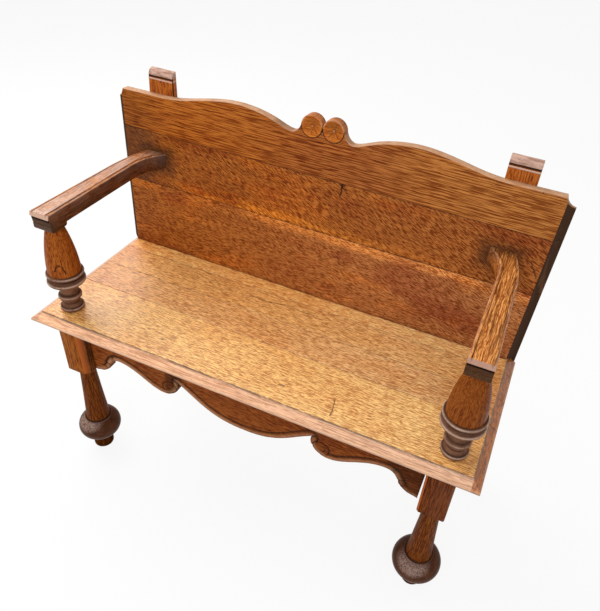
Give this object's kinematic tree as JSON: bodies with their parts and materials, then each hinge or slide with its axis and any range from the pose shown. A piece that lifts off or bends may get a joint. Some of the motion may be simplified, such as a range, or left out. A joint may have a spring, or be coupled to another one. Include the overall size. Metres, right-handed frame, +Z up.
{
  "type": "carved oak hall settle",
  "caption": "Small hall settle with a boarded seat and leaning back, a wavy carved crest, curved arms on turned supports, a scrolled apron and bun feet.",
  "frame": {"origin": "centre of the footprint, on the floor", "axes": "+Z up, the front of the seat faces -Y, +X to the right for someone standing in front of it"},
  "size_m": [1.054, 0.429, 0.9232],
  "materials": {
    "oak_seat": "waxed honey oak with a soft sheen",
    "oak_back": "waxed red-brown oak with ray figure",
    "oak_frame": "waxed dark oak, worn on the edges",
    "oak_turned": "waxed turned oak, darker in the hollows",
    "oak_hidden": "bare oak",
    "steel_screw": "dull old steel"
  },
  "bodies": {
    "root": {"seat_board_front": "oak_seat", "seat_board_second": "oak_seat", "seat_board_third": "oak_seat", "seat_board_rear": "oak_seat", "back_board_lower": "oak_back", "back_board_middle": "oak_back", "back_board_top": "oak_back", "back_post_left": "oak_frame", "back_post_right": "oak_frame", "arm_left": "oak_frame", "arm_right": "oak_frame", "arm_support_left": "oak_turned", "arm_support_right": "oak_turned", "front_leg_left": "oak_turned", "front_leg_right": "oak_turned", "front_apron": "oak_frame", "side_rail_left": "oak_frame", "side_rail_right": "oak_frame", "rear_rail": "oak_frame", "seat_batten_left": "oak_hidden", "seat_batten_right": "oak_hidden", "apron_blocks": "oak_hidden", "side_rail_blocks": "oak_hidden", "rail_dowels": "oak_hidden", "batten_screws": "steel_screw", "rail_screws": "steel_screw", "back_board_screws": "steel_screw", "arm_screws": "steel_screw"}
  },
  "joints": []
}
